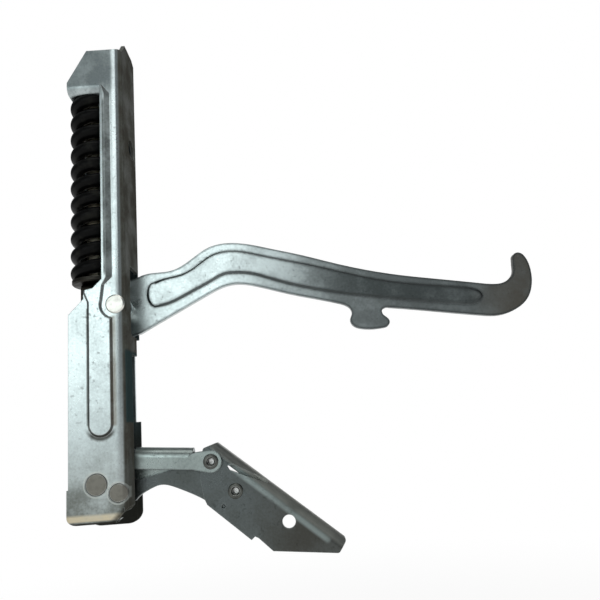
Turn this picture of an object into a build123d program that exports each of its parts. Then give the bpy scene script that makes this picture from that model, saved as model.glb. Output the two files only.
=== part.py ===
"""Oven door hinge: a spring-loaded hook arm and a folding lower linkage in a sheet channel.

The channel is screwed upright inside the door. The hook arm and the lower bracket reach
into the oven body. All pieces are laid out in the channel's own measures:

x  from the web's outer face towards the oven, so the channel lies at negative x
y  from the front flange's outer face towards the back flange
z  from the channel's foot upwards

At the end everything is moved so that the origin is the fixing hole in the web.
"""

from build123d import *
from math import atan2, cos, degrees, hypot, radians, sin, sqrt
import os

# Channel, folded from one sheet
SHEET = 1.5
CHANNEL_WIDTH = 22.6
CHANNEL_DEPTH = 23.5
CHANNEL_BEND = 2.5
FLANGE_TOP = 191.5
WEB_TIP_RISE = 5.8
BACK_FOOT = -2.6
BACK_CORNER = 6.0
FIT = 0.02
RUN = 0.05
SIDE_GAP = 0.1

# Cut-outs of the channel
NOTCH_RIGHT = -8.8
NOTCH_BOTTOM = 91.6
SHOULDER_LEFT = -16.2
SHOULDER_TOP = 84.2
SHOULDER_FOOT = 78.3
EDGE_STEP = 0.6
EDGE_STEP_TOP = 12.9
TOP_CORNER = 8.2
TOP_CORNER_DROP = 14.3
FOOT_CORNER = 3.0
FOOT_CHAMFER = 5.6
ARM_SLOT_ABOVE_PIVOT = 17.2
ARM_SLOT_BELOW_PIVOT = 11.3
ARM_SLOT_FRONT = 8.4
SIDE_CUT_FRONT = 16.6
SIDE_CUT_X = -2.4
SIDE_CUT_FOOT = 36.5
LOW_SLOT_TOP = 62.5
LOW_SLOT_FRONT = 9.2
FIXING_HOLE_Y = 14.5
FIXING_HOLE_Z = 152.0
FIXING_HOLE_RADIUS = 4.25

# Tabs folded from the front flange
TAB_DROP = 19.2
TAB_BEND = 3.2
TAB_SIDE_GAP = 0.2
TAB_GAP = 0.3
FOOT_TAB_BEND = 4.0
FOOT_TAB_REACH = 8.0

# Pressed rib beside the notch
RIB_HEIGHT = 0.8
RIB_LEFT = -14.7
RIB_RIGHT = -4.9
RIB_JOGGLE = 4.4
RIB_FOOT = 31.0
RIB_SLOPE = 1.0
RIB_WIDE_SLOPE = 2.6
RIVET_SEAT_RADIUS = 5.2
RIVET_SEAT_RISE = 11.0

# Spring and the rod through it
SPRING_X = -14.6
SPRING_PLAY = 0.25
SPRING_WIRE = 5.6
SPRING_PITCH = 7.29
SEAT_INSET = 0.5
SEAT_THICKNESS = 1.8
SEAT_ABOVE_PIN = 17.4
ROD_PLAY = 0.6
ROD_PROUD = 6.1
ROD_SHOULDER = 1.0
ROD_TAB_CLEARANCE = 0.4
END_WASHER_RIM = 2.8
END_WASHER_THICKNESS = 1.4

# Yoke under the seat, with a slotted hole in each leg
YOKE_SHEET = 2.0
YOKE_ARM_GAP = 1.4
YOKE_LEFT = -19.2
YOKE_RIGHT = -7.6
YOKE_LEG_BELOW_PIN = 5.2
YOKE_SLOT_PLAY = 0.4

# Hook arm and its lever, turning on the domed rivet
PIVOT_X = -3.8
PIVOT_Z = 81.3
LEVER_LENGTH = 10.4
LEVER_DROP = 40.0
ARM_THICKNESS = 2.4
PIVOT_WASHER = 0.9
ARM_BEAD_HEIGHT = 1.1
BEAD_SLOPE = 1.1
BEAD_WALL = 0.7
LEVER_EYE = 4.0
LEVER_TIP = 4.6
INNER_LEVER_GAP = 0.6
INNER_LEVER_THICKNESS = 2.5
CROSS_PIN_RADIUS = 2.5
CROSS_PIN_PROUD = 0.6
RIVET_RADIUS = 2.2
RIVET_HEAD_RADIUS = 3.7
RIVET_RIM_HEIGHT = 0.9
RIVET_DOME_RADIUS = 3.2
RIVET_DOME_HEIGHT = 0.15
BUSH_RADIUS = 3.5
TAIL_HEIGHT = 1.2

# Lower linkage: four pivots, all across the channel
LINK_PIN_X = -11.7
LINK_PIN_Z = 14.2
PLATE_PIN_X = -3.7
PLATE_PIN_Z = 10.8
UPPER_RIVET_X = 29.1
UPPER_RIVET_Z = 19.1
LOWER_RIVET_X = 37.8
LOWER_RIVET_Z = 7.5
LINK_PIN_HEAD = 4.0
LINK_PIN_RADIUS = 2.1
LINK_PIN_PLAY = 1.45
PLATE_PIN_HEAD = 3.4
PLATE_PIN_RADIUS = 1.9
LINK_Y = 9.4
LINK_SHEET = 1.5
LINK_DEPTH = 7.7
LINK_EYE = 4.9
LINK_TOP = 26.2
LINK_ROOF_START = -0.3
LINK_ROOF_END = 22.0
LINK_ROOF_RISE = 22.8
LINK_ROOF_FALL = 20.9
PIN_PASS = 0.55
PIN_GROOVE = 0.3
PIN_GROOVE_DEPTH = 0.25
LINK_END = 4.25
LINK_BUSH_RADIUS = 5.0
PLATE_THICKNESS = 2.8
BRACKET_SHEET = 1.5
BRACKET_BEND = 4.2
RIVET_SHANK = 2.1
RIVET_RING = 2.9
RIVET_RING_HEIGHT = 0.7
RIVET_BORE = 1.25
RIVET_BORE_DEPTH = 3.0
BRACKET_RETURN = 4.6
BRACKET_RETURN_START = 8.0
BRACKET_HOLE_X = 57.4
BRACKET_HOLE_Z = -5.1
BRACKET_HOLE_RADIUS = 2.5

# Worked out from the sizes above
BACK_INSIDE = CHANNEL_DEPTH - SHEET
OPEN_EDGE = -CHANNEL_WIDTH
WEB_INSIDE = -SHEET
WEB_TOP = FLANGE_TOP + WEB_TIP_RISE
TOP_CORNER_FOOT = FLANGE_TOP - TOP_CORNER_DROP
TAB_UNDERSIDE = FLANGE_TOP - TAB_DROP
NOTCH_TOP = TAB_UNDERSIDE + TAB_BEND
TAB_WIDTH = NOTCH_RIGHT - TAB_SIDE_GAP - OPEN_EDGE
ARM_SLOT_TOP = PIVOT_Z + ARM_SLOT_ABOVE_PIVOT
ARM_SLOT_FOOT = PIVOT_Z - ARM_SLOT_BELOW_PIVOT
SPRING_Y = CHANNEL_DEPTH / 2
SPRING_OUTER = CHANNEL_DEPTH - 2 * (SHEET + SPRING_PLAY)
SEAT_RADIUS = SPRING_OUTER / 2 - SEAT_INSET
ROD_RADIUS = SPRING_OUTER / 2 - SPRING_WIRE - ROD_PLAY
ROD_TENON_RADIUS = ROD_RADIUS - ROD_SHOULDER
END_WASHER_RADIUS = ROD_RADIUS + END_WASHER_RIM
LEVER_PIN_X = PIVOT_X - LEVER_LENGTH * cos(radians(LEVER_DROP))
LEVER_PIN_Z = PIVOT_Z - LEVER_LENGTH * sin(radians(LEVER_DROP))
SEAT_UNDERSIDE = LEVER_PIN_Z + SEAT_ABOVE_PIN
SEAT_TOP = SEAT_UNDERSIDE + SEAT_THICKNESS
SPRING_TURNS = (TAB_UNDERSIDE - SEAT_TOP - SPRING_WIRE) / SPRING_PITCH
ROD_TOP = TAB_UNDERSIDE + ROD_PROUD
BRACKET_Y = LINK_Y + LINK_SHEET + SIDE_GAP
PLATE_Y = BRACKET_Y + BRACKET_SHEET + SIDE_GAP
LINK_BACK = LINK_Y + LINK_DEPTH
ARM_Y = BACK_INSIDE - PIVOT_WASHER - SIDE_GAP - ARM_THICKNESS
YOKE_WIDTH_Y = 2 * (ARM_Y - YOKE_ARM_GAP - SPRING_Y)
YOKE_Y = SPRING_Y - YOKE_WIDTH_Y / 2
INNER_LEVER_Y = YOKE_Y + YOKE_SHEET + INNER_LEVER_GAP
CROSS_PIN_FRONT = YOKE_Y - CROSS_PIN_PROUD


def slab(face, y_near, y_far):
    """Flat piece: an x-z outline made solid from y_near to y_far."""
    return extrude(Plane.XZ.offset(-y_near) * face, amount=-(y_far - y_near))


def rod_y(x, z, radius, y_near, y_far):
    """Round pin or hole along y."""
    return slab(Pos(x, z) * Circle(radius), y_near, y_far)


def box(x_range, y_range, z_range):
    """Box between three pairs of coordinates."""
    size = [high - low for low, high in (x_range, y_range, z_range)]
    middle = [(high + low) / 2 for low, high in (x_range, y_range, z_range)]
    return Pos(*middle) * Box(*size)


def side_cut(points, x_near, x_far):
    """Solid from a y-z outline, between two x coordinates."""
    face = make_face(Polyline(*points, close=True))
    return extrude(Plane.YZ.offset(x_near) * face, amount=x_far - x_near)


def bar_outline(start, end, start_radius, end_radius):
    """Outline of a bar with two round ends, tangent on both sides."""
    ends = [Pos(*start) * Circle(start_radius), Pos(*end) * Circle(end_radius)]
    return make_hull(ends[0].edges() + ends[1].edges())


def channel_block():
    """Outside of the channel as one block, rounded at both bends."""
    block = box((OPEN_EDGE, 0), (0, CHANNEL_DEPTH), (BACK_FOOT, WEB_TOP))
    return fillet(block.edges().filter_by(Axis.Z).group_by(Axis.X)[-1], CHANNEL_BEND)


def channel_section():
    """The folded U of web and two flanges, open towards -x."""
    outer = channel_block()
    inner = box((OPEN_EDGE - 1, WEB_INSIDE), (SHEET, BACK_INSIDE), (BACK_FOOT - 1, WEB_TOP + 1))
    inner = fillet(inner.edges().filter_by(Axis.Z).group_by(Axis.X)[-1], CHANNEL_BEND - SHEET)
    return outer - inner


def rib_outline(slope):
    """Outline of the pressed rib: slope 0 is its foot, and 1 the edge of its raised face."""
    narrow = RIB_SLOPE * slope
    wide = RIB_RIGHT + 0.2 - RIB_WIDE_SLOPE * slope
    left = RIB_LEFT + narrow
    right = RIB_RIGHT - narrow
    top = NOTCH_TOP - 0.2 * slope
    seat = RIVET_SEAT_RADIUS + narrow
    west = (PIVOT_X - seat * cos(radians(20)), PIVOT_Z + seat * sin(radians(20)))
    south_west = (PIVOT_X - seat * cos(radians(35)), PIVOT_Z - seat * sin(radians(35)))
    south = (right, PIVOT_Z - sqrt(seat ** 2 - (PIVOT_X - right) ** 2))
    end = (right - left) / 2
    centre = RIB_FOOT + narrow + end
    above = Polyline((left - 1.6, top), (NOTCH_RIGHT + 0.5, top), (wide, top - RIB_JOGGLE),
                     (wide, PIVOT_Z + RIVET_SEAT_RISE), (NOTCH_RIGHT + 0.9 - narrow, PIVOT_Z + 8.0), west)
    around = ThreePointArc(west, south_west, south)
    down = Line(south, (right, centre))
    foot = ThreePointArc((right, centre), (left + end, centre - end), (left, centre))
    back = Polyline((left, centre), (left, SHOULDER_TOP - 1.6), (left - 1.6, SHOULDER_TOP + 2.4),
                    (left - 1.6, top))
    return make_face([above, around, down, foot, back])


def tab_profile(underside, bend, reach, width, x_start):
    """Tab folded inwards from the front flange: rounded outside corner, flat shelf."""
    high = underside + bend + SHEET
    outer = box((x_start, x_start + width), (0, reach), (underside, high))
    outer = fillet(outer.edges().filter_by(Axis.X).group_by(Axis.Z)[0].sort_by(Axis.Y)[0], bend)
    inner = box((x_start - 1, x_start + width + 1), (SHEET, reach + 1), (underside + SHEET, high + 1))
    inner = fillet(inner.edges().filter_by(Axis.X).group_by(Axis.Z)[0].sort_by(Axis.Y)[0], bend - SHEET)
    return outer - inner


def make_channel():
    """Door channel: the folded sheet with its rib, tabs, notch, slots and holes."""
    body = channel_section()

    rib = loft([Plane.XZ * rib_outline(0), Plane.XZ.offset(RIB_HEIGHT) * rib_outline(1)], ruled=True)
    rib += slab(rib_outline(0), 0, SHEET / 2)
    body = body + rib - slab(rib_outline(1.3), SHEET - RIB_HEIGHT, SHEET + 1)

    front = (-RIB_HEIGHT - 1, SHEET + 1)
    notch = Polyline(
        (OPEN_EDGE - 5, NOTCH_TOP),
        (NOTCH_RIGHT, NOTCH_TOP),
        (NOTCH_RIGHT, NOTCH_BOTTOM),
        (NOTCH_RIGHT - 3.5, NOTCH_BOTTOM - 3.5),
        (SHOULDER_LEFT, 87.4),
        (SHOULDER_LEFT, SHOULDER_TOP),
        (OPEN_EDGE + EDGE_STEP, SHOULDER_FOOT),
        (OPEN_EDGE + EDGE_STEP, EDGE_STEP_TOP),
        (OPEN_EDGE - 5, EDGE_STEP_TOP),
        close=True,
    )
    body -= slab(make_face(notch), *front)

    top_corner = Polyline((OPEN_EDGE - 5, TOP_CORNER_FOOT), (OPEN_EDGE, TOP_CORNER_FOOT),
                          (OPEN_EDGE + TOP_CORNER, FLANGE_TOP), (OPEN_EDGE + TOP_CORNER, WEB_TOP + 5),
                          (OPEN_EDGE - 5, WEB_TOP + 5), close=True)
    body -= slab(make_face(top_corner), -2, CHANNEL_DEPTH + 2)

    shoulder = 2.0
    tip = 6.8
    round_back = CHANNEL_DEPTH - 5.5
    above = WEB_TOP + 5
    ramp = [(-2, FLANGE_TOP), (shoulder, FLANGE_TOP), (tip, WEB_TOP), (tip, above), (-2, above)]
    body -= side_cut(ramp, OPEN_EDGE - 2, 2)
    behind = [(round_back, WEB_TOP), (round_back + 3.4, WEB_TOP - 1.6), (CHANNEL_DEPTH - 0.6, WEB_TOP - 4.0),
              (CHANNEL_DEPTH, FLANGE_TOP), (CHANNEL_DEPTH + 2, FLANGE_TOP), (CHANNEL_DEPTH + 2, above),
              (round_back, above)]
    body -= side_cut(behind, OPEN_EDGE - 2, 2)

    web = (SIDE_CUT_X, 1)
    arm_slot = box(web, (ARM_SLOT_FRONT, BACK_INSIDE), (ARM_SLOT_FOOT, ARM_SLOT_TOP))
    arm_slot = fillet(arm_slot.edges().filter_by(Axis.X).group_by(Axis.Y)[0], 1.8)
    body -= arm_slot
    body -= box(web, (SIDE_CUT_FRONT, CHANNEL_DEPTH + 1), (SIDE_CUT_FOOT, ARM_SLOT_FOOT + 0.01))
    body -= box(web, (LOW_SLOT_FRONT, BACK_INSIDE), (BACK_FOOT - 1, LOW_SLOT_TOP))

    body -= box((OPEN_EDGE - 1, 1), (-2, BACK_INSIDE - 0.01), (BACK_FOOT - 1, FOOT_TAB_BEND))
    body += tab_profile(0, FOOT_TAB_BEND, FOOT_TAB_REACH, CHANNEL_WIDTH - SHEET, OPEN_EDGE)
    body += tab_profile(TAB_UNDERSIDE, TAB_BEND, BACK_INSIDE - TAB_GAP, TAB_WIDTH, OPEN_EDGE)
    body -= Pos(SPRING_X, SPRING_Y, TAB_UNDERSIDE) * Cylinder(ROD_RADIUS + ROD_TAB_CLEARANCE, 12)

    strip = fillet(box((WEB_INSIDE, 0), (0, LOW_SLOT_FRONT), (0, FOOT_TAB_BEND + 0.01))
                   .edges().filter_by(Axis.Z).group_by(Axis.Y)[0].sort_by(Axis.X)[-1], SHEET * 0.9)
    body += strip
    corner_cut = Polyline((-FOOT_CHAMFER, -1), (-FOOT_CHAMFER, 0), (0, FOOT_CHAMFER), (2, FOOT_CHAMFER),
                          (2, -1), close=True)
    body -= slab(make_face(corner_cut), -2, LOW_SLOT_FRONT + 1)
    left_cut = Rectangle(2 * FOOT_CORNER, 2 * FOOT_CORNER)
    left_cut -= Pos(FOOT_CORNER, FOOT_CORNER) * Circle(FOOT_CORNER)
    body -= slab(Pos(OPEN_EDGE, 0) * left_cut, -2, LOW_SLOT_FRONT)

    for x, side in ((OPEN_EDGE, 1), (0, -1)):
        square = Pos(x, BACK_FOOT) * Rectangle(2 * BACK_CORNER, 2 * BACK_CORNER)
        square -= Pos(x + side * BACK_CORNER, BACK_FOOT + BACK_CORNER) * Circle(BACK_CORNER)
        square = square & Pos(x + side * BACK_CORNER / 2, BACK_FOOT + BACK_CORNER / 2) * Rectangle(
            BACK_CORNER, BACK_CORNER)
        body -= slab(square, BACK_INSIDE - 0.02, CHANNEL_DEPTH + 1)

    hole = Pos(FIXING_HOLE_Y, FIXING_HOLE_Z) * Circle(FIXING_HOLE_RADIUS)
    body -= extrude(Plane.YZ.offset(WEB_INSIDE - 1) * hole, amount=SHEET + 2)
    body -= rod_y(PIVOT_X, PIVOT_Z, RIVET_RADIUS + FIT, -1, CHANNEL_DEPTH + 1)
    for x, z, head, shank in ((LINK_PIN_X, LINK_PIN_Z, LINK_PIN_HEAD, LINK_PIN_RADIUS),
                              (PLATE_PIN_X, PLATE_PIN_Z, PLATE_PIN_HEAD, PLATE_PIN_RADIUS)):
        body -= rod_y(x, z, head + FIT, -1, SHEET)
        body -= rod_y(x, z, head + PIN_GROOVE, -1, PIN_GROOVE_DEPTH)
        body -= rod_y(x, z, shank + FIT, SHEET, CHANNEL_DEPTH + 1)
    return body


def make_spring():
    """Coil spring between the seat and the abutment tab, its end turns ground flat."""
    mean = (SPRING_OUTER - SPRING_WIRE) / 2
    extra = 0.35
    low = SEAT_TOP + SPRING_WIRE / 2 - extra * SPRING_PITCH
    helix = Helix(SPRING_PITCH, (SPRING_TURNS + 2 * extra) * SPRING_PITCH, mean)
    wire = sweep(Plane(helix @ 0, z_dir=helix % 0) * Circle(SPRING_WIRE / 2), path=helix, is_frenet=True)
    wire = Pos(SPRING_X, SPRING_Y, low) * Rot(0, 0, 60) * wire
    keep = Pos(SPRING_X, SPRING_Y, (SEAT_TOP + TAB_UNDERSIDE) / 2) * Cylinder(
        SPRING_OUTER, TAB_UNDERSIDE - SEAT_TOP - 0.04)
    return wire & keep


def make_rod():
    """Guide rod through spring and tab, with a riveted tenon below."""
    rod = Pos(SPRING_X, SPRING_Y, (SEAT_TOP + ROD_TOP) / 2) * Cylinder(ROD_RADIUS, ROD_TOP - SEAT_TOP)
    rod = chamfer(rod.edges().group_by(Axis.Z)[-1], 0.8)
    foot = SEAT_UNDERSIDE - YOKE_SHEET
    tenon = Pos(SPRING_X, SPRING_Y, (foot + SEAT_TOP) / 2) * Cylinder(ROD_TENON_RADIUS, SEAT_TOP - foot)
    upset = Pos(SPRING_X, SPRING_Y, foot - 0.4) * Cylinder(ROD_TENON_RADIUS + 0.4, 0.8)
    return rod + tenon + upset


def make_end_washer():
    """Pressed-on washer that keeps the rod from dropping through the tab."""
    low = TAB_UNDERSIDE + SHEET + SIDE_GAP
    ring = Cylinder(END_WASHER_RADIUS, END_WASHER_THICKNESS) - Cylinder(ROD_RADIUS + FIT, 4)
    return Pos(SPRING_X, SPRING_Y, low + END_WASHER_THICKNESS / 2) * ring


def make_seat():
    """Round seat under the spring."""
    disc = Cylinder(SEAT_RADIUS, SEAT_THICKNESS) - Cylinder(ROD_TENON_RADIUS + FIT, 4)
    disc = chamfer(disc.edges().group_by(Axis.Z)[0].sort_by(SortBy.LENGTH)[-1], 0.5)
    return Pos(SPRING_X, SPRING_Y, SEAT_UNDERSIDE + SEAT_THICKNESS / 2) * disc


def make_yoke():
    """Strap folded down on both sides, with a slotted hole for the lever's pin."""
    foot = LEVER_PIN_Z - YOKE_LEG_BELOW_PIN
    outer = box((YOKE_LEFT, YOKE_RIGHT), (YOKE_Y, YOKE_Y + YOKE_WIDTH_Y), (foot, SEAT_UNDERSIDE))
    outer = fillet(outer.edges().filter_by(Axis.X).group_by(Axis.Z)[-1], YOKE_SHEET * 1.2)
    inner = box((YOKE_LEFT - 1, YOKE_RIGHT + 1), (YOKE_Y + YOKE_SHEET, YOKE_Y + YOKE_WIDTH_Y - YOKE_SHEET),
                (foot - 1, SEAT_UNDERSIDE - YOKE_SHEET))
    strap = outer - inner
    strap = fillet(strap.edges().filter_by(Axis.Y).group_by(Axis.Z)[0], 2.0)
    lateral = LEVER_LENGTH * (1 - cos(radians(LEVER_DROP)))
    across = 2 * (CROSS_PIN_RADIUS + YOKE_SLOT_PLAY)
    hole = Pos(LEVER_PIN_X - lateral / 2, LEVER_PIN_Z) * SlotOverall(lateral + across, across)
    strap -= slab(hole, YOKE_Y - 1, YOKE_Y + YOKE_WIDTH_Y + 1)
    return strap - Pos(SPRING_X, SPRING_Y, SEAT_UNDERSIDE) * Cylinder(ROD_TENON_RADIUS + FIT, 8)


def arm_outline():
    """Outline of the hook arm, from the lever's end to the hook."""
    crest = Spline((1.0, 96.3), (7.7, 97.6), (14.0, 97.9), (18.7, 99.5), (22.6, 101.9), (26.5, 104.6),
                   (30.4, 106.8), (35.1, 108.1), (39.8, 108.3), (47.0, 107.3), (57.4, 104.4), (69.0, 101.0),
                   (83.0, 96.3), (96.6, 92.2), (110.5, 88.9), (124.0, 86.4), (135.4, 84.4), (145.9, 82.5))
    throat = Spline((145.9, 82.5), (149.4, 82.1), (152.8, 82.3), (155.8, 83.7), (157.8, 85.8), (158.4, 88.0))
    inside = Line((158.4, 88.0), (158.7, 92.6))
    tip = Spline((158.7, 92.6), (159.3, 94.1), (160.8, 94.9), (162.4, 94.6), (163.7, 93.4))
    back = Spline((163.7, 93.4), (165.0, 90.6), (165.6, 87.2), (165.6, 83.4), (164.8, 79.4), (163.0, 75.6),
                  (159.8, 72.4), (155.0, 70.0), (149.3, 68.9), (142.4, 69.5), (135.4, 70.6), (122.4, 72.8),
                  (109.4, 74.9), (104.6, 75.6))
    lug = Spline((104.6, 75.6), (102.8, 75.5), (101.6, 74.5), (101.8, 72.9), (103.4, 71.3), (104.3, 69.6),
                 (103.6, 68.0), (101.0, 67.2), (96.8, 67.0), (92.6, 67.5), (89.6, 68.7), (88.3, 70.4),
                 (88.3, 72.3), (89.1, 74.3), (88.6, 76.2), (86.8, 77.8), (84.4, 78.8))
    under = Spline((84.4, 78.8), (76.0, 81.2), (67.7, 83.4), (59.4, 85.9), (51.4, 88.5), (46.0, 89.9),
                   (41.2, 90.4), (36.3, 89.6), (31.0, 87.4), (21.9, 82.8), (12.2, 77.9), (1.4, 72.3))
    root = Polyline((1.4, 72.3), (-2.6, 71.2), (-6.4, 72.6), (-8.0, 79.0), (-5.8, 90.5), (-3.6, 95.2),
                    (1.0, 96.3))
    blade = make_face([crest, throat, inside, tip, back, lug, under, root])
    lever = bar_outline((PIVOT_X, PIVOT_Z), (LEVER_PIN_X, LEVER_PIN_Z), LEVER_EYE + 1.2, LEVER_TIP)
    return blade + lever


def bead_outline(inset):
    """Outline of the stiffening bead pressed into the arm, drawn in by an inset."""
    crown = [(7.4, 93.8), (13.4, 95.3), (18.4, 96.2), (22.9, 98.0), (27.4, 101.0), (32.4, 104.0),
             (37.4, 105.1), (44.4, 104.6), (51.4, 102.7), (69.2, 97.7), (82.7, 93.6), (96.4, 89.3),
             (110.4, 86.0), (124.4, 83.8), (138.4, 81.7)]
    floor = [(138.4, 74.0), (126.4, 75.4), (115.9, 77.1), (105.4, 78.8), (95.4, 80.5), (81.8, 83.2),
             (68.3, 86.7), (58.1, 90.1), (49.4, 93.3), (41.9, 94.5), (36.4, 94.1), (31.6, 91.8),
             (22.0, 87.2), (14.8, 83.9), (8.8, 82.7)]
    far = [(141.1, 80.9), (143.3, 79.5), (144.2, 77.7), (143.3, 75.8), (141.2, 74.4)]
    near = [(5.9, 83.6), (4.4, 86.2), (4.2, 89.6), (5.2, 92.4)]
    crown = [(x + (inset if x < 12.4 else 0), z - inset) for x, z in crown]
    floor = [(x + (inset if x < 12.4 else 0), z + inset) for x, z in floor]
    far = [(x - inset, z - inset * (z - 77.7) / 3.9) for x, z in far]
    near = [(x + inset, z) for x, z in near]
    top = Spline(*crown)
    low = Spline(*floor)
    return make_face([top, Spline(crown[-1], *far, floor[0]), low, Spline(floor[-1], *near, crown[0])])


def make_arm():
    """Hook arm: flat blade, raised bead, catch lug and hook."""
    arm = slab(arm_outline(), ARM_Y, ARM_Y + ARM_THICKNESS)
    levels = ((ARM_Y + 0.2, 0.0), (ARM_Y - ARM_BEAD_HEIGHT, BEAD_SLOPE))
    arm += loft([Plane.XZ.offset(-y) * bead_outline(inset) for y, inset in levels], ruled=True)
    back = ARM_Y + ARM_THICKNESS
    levels = ((back + 0.2, BEAD_WALL), (back - ARM_BEAD_HEIGHT, BEAD_WALL + BEAD_SLOPE))
    arm -= loft([Plane.XZ.offset(-y) * bead_outline(inset) for y, inset in levels], ruled=True)
    arm -= rod_y(PIVOT_X, PIVOT_Z, RIVET_RADIUS + RUN, ARM_Y - 3, ARM_Y + 6)
    return arm - rod_y(LEVER_PIN_X, LEVER_PIN_Z, CROSS_PIN_RADIUS + FIT, ARM_Y - 3, ARM_Y + 6)


def make_inner_lever():
    """Second lever, which carries the front of the cross pin."""
    outline = bar_outline((PIVOT_X, PIVOT_Z), (LEVER_PIN_X, LEVER_PIN_Z), LEVER_EYE, LEVER_TIP)
    lever = slab(outline, INNER_LEVER_Y, INNER_LEVER_Y + INNER_LEVER_THICKNESS)
    lever -= rod_y(PIVOT_X, PIVOT_Z, RIVET_RADIUS + RUN, INNER_LEVER_Y - 1, ARM_Y)
    return lever - rod_y(LEVER_PIN_X, LEVER_PIN_Z, CROSS_PIN_RADIUS + FIT, INNER_LEVER_Y - 1, ARM_Y)


def make_cross_pin():
    """Pin across both levers, running in the yoke."""
    pin = rod_y(LEVER_PIN_X, LEVER_PIN_Z, CROSS_PIN_RADIUS, CROSS_PIN_FRONT, ARM_Y + ARM_THICKNESS + 0.4)
    return chamfer(pin.edges().filter_by(GeomType.CIRCLE), 0.4)


def tube_y(x, z, outer, inner, y_near, y_far):
    """Bush, washer or spacer along y."""
    return rod_y(x, z, outer, y_near, y_far) - rod_y(x, z, inner, y_near - 1, y_far + 1)


def make_pivot_rivet():
    """Rivet with a low, nearly flat head, on which the arm turns."""
    shank = rod_y(PIVOT_X, PIVOT_Z, RIVET_RADIUS, 0, CHANNEL_DEPTH)
    rim = rod_y(PIVOT_X, PIVOT_Z, RIVET_HEAD_RADIUS, -RIVET_RIM_HEIGHT, 0)
    rim = chamfer(rim.faces().sort_by(Axis.Y)[0].edges(), RIVET_HEAD_RADIUS - RIVET_DOME_RADIUS)
    sphere = (RIVET_DOME_RADIUS ** 2 + RIVET_DOME_HEIGHT ** 2) / (2 * RIVET_DOME_HEIGHT)
    crown = -RIVET_RIM_HEIGHT - RIVET_DOME_HEIGHT
    ball = Pos(PIVOT_X, crown + sphere, PIVOT_Z) * Sphere(sphere)
    head = rim + (ball & rod_y(PIVOT_X, PIVOT_Z, RIVET_DOME_RADIUS, crown - 1, -RIVET_RIM_HEIGHT / 2))
    tail = rod_y(PIVOT_X, PIVOT_Z, RIVET_HEAD_RADIUS, CHANNEL_DEPTH, CHANNEL_DEPTH + TAIL_HEIGHT)
    tail = chamfer(tail.faces().sort_by(Axis.Y)[-1].edges(), 0.5)
    return shank + head + tail


def make_flush_pin(x, z, head, shank):
    """Linkage pin with a flush head in the front flange and a riveted tail."""
    top = rod_y(x, z, head, 0, SHEET)
    top = chamfer(top.faces().sort_by(Axis.Y)[0].edges(), PIN_GROOVE) & channel_block()
    body = top + rod_y(x, z, shank, SHEET, CHANNEL_DEPTH)
    tail = rod_y(x, z, shank + 1.0, CHANNEL_DEPTH, CHANNEL_DEPTH + TAIL_HEIGHT)
    return body + chamfer(tail.faces().sort_by(Axis.Y)[-1].edges(), 0.5)


def link_leg(drop):
    """Side of the folded link: eye, hook over the other pin, bar and round end."""
    bar = [(-16.6, LINK_PIN_Z), (-16.6, LINK_TOP - 4.4), (-13.2, LINK_TOP),
           (LINK_ROOF_START - 1.8, LINK_TOP), (LINK_ROOF_START, LINK_TOP - 1.8),
           (LINK_ROOF_START, LINK_ROOF_RISE), (LINK_ROOF_END, LINK_ROOF_FALL), (28.9, LINK_ROOF_FALL),
           (28.4, 16.0), (23.0, 16.4), (16.9, 16.9), (7.4, 17.7 - drop), (-1.2, 18.4 - drop),
           (-5.6, 18.4), (-7.4, LINK_PIN_Z)]
    leg = make_face(Polyline(*bar, close=True))
    leg += Pos(LINK_PIN_X, LINK_PIN_Z) * Circle(LINK_EYE)
    leg += bar_outline((23.4, 19.6), (UPPER_RIVET_X, UPPER_RIVET_Z), 3.4, LINK_END)
    passing = PLATE_PIN_RADIUS + PIN_PASS
    upper = (PLATE_PIN_X - 0.85, PLATE_PIN_Z + 9.7)
    leg -= bar_outline((PLATE_PIN_X - 0.2, PLATE_PIN_Z), upper, passing, passing)
    return leg - Pos(LINK_PIN_X, LINK_PIN_Z) * Circle(LINK_PIN_RADIUS + LINK_PIN_PLAY)


def make_link():
    """Folded link: two side plates joined by a half-round back along the top."""
    link = slab(link_leg(0), LINK_Y, LINK_Y + LINK_SHEET)
    link += slab(link_leg(4.2), LINK_BACK - LINK_SHEET, LINK_BACK)

    run = LINK_ROOF_END - LINK_ROOF_START
    fall = LINK_ROOF_RISE - LINK_ROOF_FALL
    radius = LINK_DEPTH / 2
    arch = Circle(radius) - Circle(radius - LINK_SHEET)
    arch = arch & Pos(0, radius) * Rectangle(LINK_DEPTH + 2, 2 * radius)
    legs = Rectangle(LINK_DEPTH, 1.2, align=(Align.CENTER, Align.MAX))
    legs -= Rectangle(LINK_DEPTH - 2 * LINK_SHEET, 4, align=Align.CENTER)
    roof = extrude(Plane.YZ * (arch + legs), amount=hypot(run, fall))
    tilt = degrees(atan2(fall, run))
    link += Pos(LINK_ROOF_START, LINK_Y + radius, LINK_ROOF_RISE) * Rot(0, tilt, 0) * roof

    link -= rod_y(UPPER_RIVET_X, UPPER_RIVET_Z, RIVET_SHANK + RUN, LINK_Y - 1, LINK_BACK + 1)
    sunk = LINK_BACK - RIVET_RING_HEIGHT
    return link - rod_y(UPPER_RIVET_X, UPPER_RIVET_Z, RIVET_RING + 2 * RUN, sunk, LINK_BACK + 1)


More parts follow.
